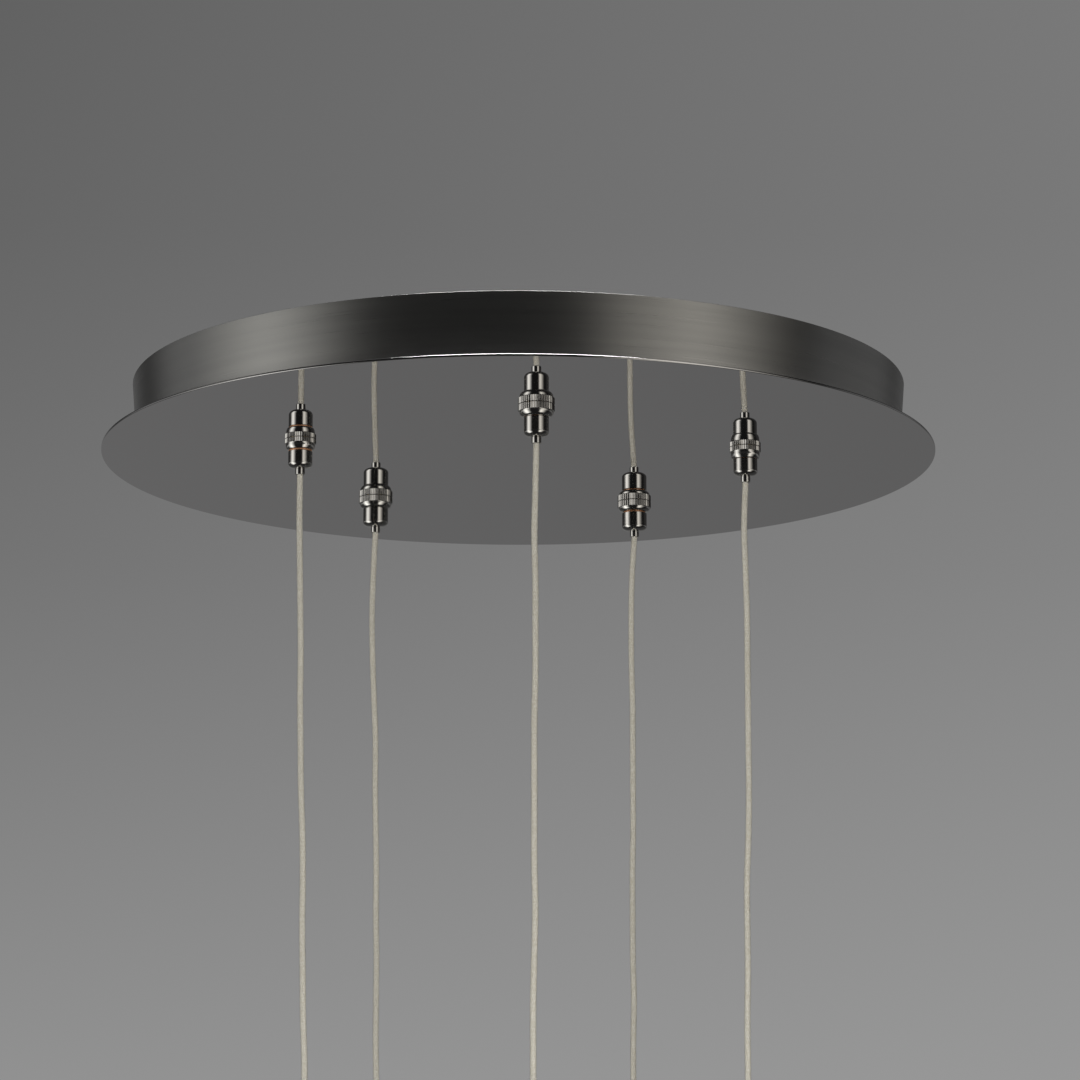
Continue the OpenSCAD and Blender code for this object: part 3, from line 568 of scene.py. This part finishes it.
give(mottled(finish_of("lead_jacket", (0.86, 0.86, 0.85), 0.35), (0.80, 0.80, 0.79), (0.88, 0.88, 0.87), 100),
     "output_leads")


# Lamp heads. A spun cap plated like the fittings, an aluminium carrier with its light board,
# and a closed frosted cup pushed up into the cap. The lamps are off.
give(chrome_finish, *(f"lamp_cap_{i}" for i in pendants))
give(mottled(finish_of("turned_aluminium", (0.75, 0.75, 0.76), 0.3, 1.0),
             (0.68, 0.68, 0.69), (0.8, 0.8, 0.81), 300), *(f"led_module_{i}" for i in pendants))
acrylic = finish_of("frosted_acrylic", (0.9, 0.9, 0.88), 0.55, **{
    "Subsurface Weight": 0.2, "Subsurface Radius": (0.01, 0.01, 0.01)})
give(mottled(acrylic, (0.86, 0.86, 0.84), (0.92, 0.92, 0.90), 40), *(f"diffuser_{i}" for i in pendants))


# Studio. A pale paper floor fades into a grey backdrop, under a box light and with a weak
# fill for the cords. The metal mirrors a dark room: two soft boxes low in front, the right
# one warmer and dimmer, and a glow on each side wall.
floor_z, floor_r, fade_from, fade_to = -1.6, 8, 1.3, 4.0
floor_finish, tree, shader = finish_of("floor_paper", (0.62, 0.62, 0.61), 0.8)
spot = add(tree, "ShaderNodeTexCoord").outputs["Object"]
far = add(tree, "ShaderNodeVectorMath", {0: spot}, operation="LENGTH").outputs["Value"]
fade = add(tree, "ShaderNodeMapRange", {"Value": far, "From Min": fade_from, "From Max": fade_to},
           interpolation_type="SMOOTHSTEP").outputs[0]
clear = add(tree, "ShaderNodeBsdfTransparent").outputs[0]
both = add(tree, "ShaderNodeMixShader", {0: fade, 1: shader.outputs[0], 2: clear}).outputs[0]
tree.links.new(both, tree.nodes["Material Output"].inputs["Surface"])
form = bmesh.new()
bmesh.ops.create_circle(form, cap_ends=True, segments=96, radius=floor_r)
floor_mesh = bpy.data.meshes.new("floor")
form.to_mesh(floor_mesh)
form.free()
floor = link_mesh("floor", floor_mesh, floor_finish)
floor.location.z = floor_z
floor.visible_glossy = False
floor.visible_shadow = False

overhead = bpy.data.objects.new("overhead_box", bpy.data.lights.new("overhead_box", "AREA"))
overhead.data.size = 1.2
overhead.data.energy = 95
overhead.location = (0, 0, 2.2)
overhead.visible_camera = False
bpy.context.scene.collection.objects.link(overhead)

fill = bpy.data.objects.new("front_fill", bpy.data.lights.new("front_fill", "AREA"))
fill.data.size = 0.7
fill.data.energy = 3.0
fill.location = (0.1, -0.70, -0.85)
fill_aim = Vector((0, 0, -0.45))
fill.rotation_euler = (fill_aim - fill.location).to_track_quat("-Z", "Y").to_euler()
fill.visible_camera = False
fill.visible_glossy = False
bpy.context.scene.collection.objects.link(fill)

world = bpy.data.worlds.new("studio")
bpy.context.scene.world = world
world.use_nodes = True
tree = world.node_tree
ray = add(tree, "ShaderNodeSeparateXYZ", {0: add(tree, "ShaderNodeTexCoord").outputs["Generated"]}).outputs
ahead = math_node(tree, "MULTIPLY", ray["Y"], -1.0)
bearing = math_node(tree, "DEGREES", math_node(tree, "ARCTAN2", ray["X"], ahead))
height = math_node(tree, "DEGREES", math_node(tree, "ARCSINE", ray["Z"]))


def step(value, start, end):
    """0 before start and 1 past end, softly."""
    return add(tree, "ShaderNodeMapRange", {"Value": value, "From Min": start, "From Max": end},
               interpolation_type="SMOOTHSTEP").outputs[0]


def product(*values):
    """All the values multiplied together."""
    whole = values[0]
    for value in values[1:]:
        whole = math_node(tree, "MULTIPLY", whole, value)
    return whole


def tinted(level, colour):
    """A colour at a level of brightness."""
    return add(tree, "ShaderNodeVectorMath", {0: level, 1: colour}, operation="MULTIPLY").outputs[0]


def ramp(value, stops):
    """A grey that follows a value through stops, each a place and a brightness."""
    made = add(tree, "ShaderNodeValToRGB", {"Fac": value})
    stones = made.color_ramp.elements
    while len(stones) < len(stops):
        stones.new(0.5)
    for stone, (place, level) in zip(stones, stops):
        stone.position = place
        stone.color = (level, level, level, 1)
    return made.outputs[0]


# Bearings are in degrees about the light, 0 towards the camera and negative to the left, and
# heights are in degrees above the horizon. In the strip that the pan's band mirrors, the boxes
# stand a little aside and the right one is dimmer.
left_tint, right_tint = (2.00, 1.98, 1.90), (1.58, 1.52, 1.40)
left_shift, left_slope = 3.0, 0.14
right_shift, right_dimming = -21.0, -0.31
left_wall_level, right_wall_level, front_wall_level, ceiling_level = 0.34, 0.18, 0.02, 0.22
low_end = step(height, -55, -42)
strip = product(step(height, -8, 2), step(height, 17, 9))
left_side = math_node(tree, "MULTIPLY_ADD", step(height, -10, 4), left_shift, bearing)
left_top = math_node(tree, "MULTIPLY_ADD", bearing, left_slope, height)
left_box = product(step(left_side, -109, -70), step(left_side, -38, -80), step(left_top, 10, -20), low_end)
right_side = math_node(tree, "MULTIPLY_ADD", strip, right_shift, bearing)
right_box = product(step(right_side, 16, 36), step(right_side, 76, 22), step(height, 34, 8), low_end,
                    math_node(tree, "MULTIPLY_ADD", strip, right_dimming, 1.0))
boxes = add(tree, "ShaderNodeVectorMath", {0: tinted(left_box, left_tint), 1: tinted(right_box, right_tint)},
            operation="ADD").outputs[0]
left_wall = product(step(bearing, -140, -116), step(bearing, -84, -108), strip)
right_wall = product(step(bearing, 84, 104), step(bearing, 150, 128), strip)
walls = math_node(tree, "MULTIPLY_ADD", right_wall, right_wall_level, product(strip, front_wall_level))
walls = math_node(tree, "MULTIPLY_ADD", left_wall, left_wall_level, walls)

# The room gets lighter towards the back, where the plate's underside looks.
room = ramp(math_node(tree, "MULTIPLY_ADD", ray["Y"], 0.5, 0.5),
            [(0.0, 0.013), (0.50, 0.015), (0.68, 0.045), (0.90, 0.06), (0.96, 0.168), (1.0, 0.168)])
slant, dimmer_above = -0.6, -0.35
across = math_node(tree, "MULTIPLY_ADD", product(ray["X"], step(ray["Y"], 0.85, 0.97)), slant, 1.0)
above = math_node(tree, "MULTIPLY_ADD", step(height, -6, 4), dimmer_above, 1.0)
room = math_node(tree, "ADD", product(room, across, above), walls)
room = math_node(tree, "MULTIPLY_ADD", step(height, 35, 70), ceiling_level, room)
lit = add(tree, "ShaderNodeVectorMath", {0: room, 1: boxes}, operation="ADD").outputs[0]

# What shows behind the light: a smooth fall from pale below to darker above, which behind the
# photo's view is also darker on the left.
fall = [(0.0, 0.40), (0.07, 0.30), (0.12, 0.262), (0.20, 0.20), (0.28, 0.160), (0.34, 0.154)]
unevenness = 5.0
behind = step(ray["Y"], 0.6, 0.9)
raised = math_node(tree, "MAXIMUM", ray["Z"], 0.0)
uneven = math_node(tree, "MULTIPLY_ADD", product(ray["X"], raised, behind), unevenness, 1.0)
grey = add(tree, "ShaderNodeCombineXYZ", {"X": uneven, "Y": uneven, "Z": uneven}).outputs[0]
backdrop = tinted(ramp(ray["Z"], fall), grey)
seen = add(tree, "ShaderNodeLightPath").outputs["Is Camera Ray"]
mix = add(tree, "ShaderNodeMix", {"Factor": seen}, data_type="RGBA")
tree.links.new(lit, mix.inputs[6])
tree.links.new(backdrop, mix.inputs[7])
tree.links.new(mix.outputs[2], tree.nodes["Background"].inputs["Color"])
bpy.context.scene.view_settings.view_transform = "Standard"
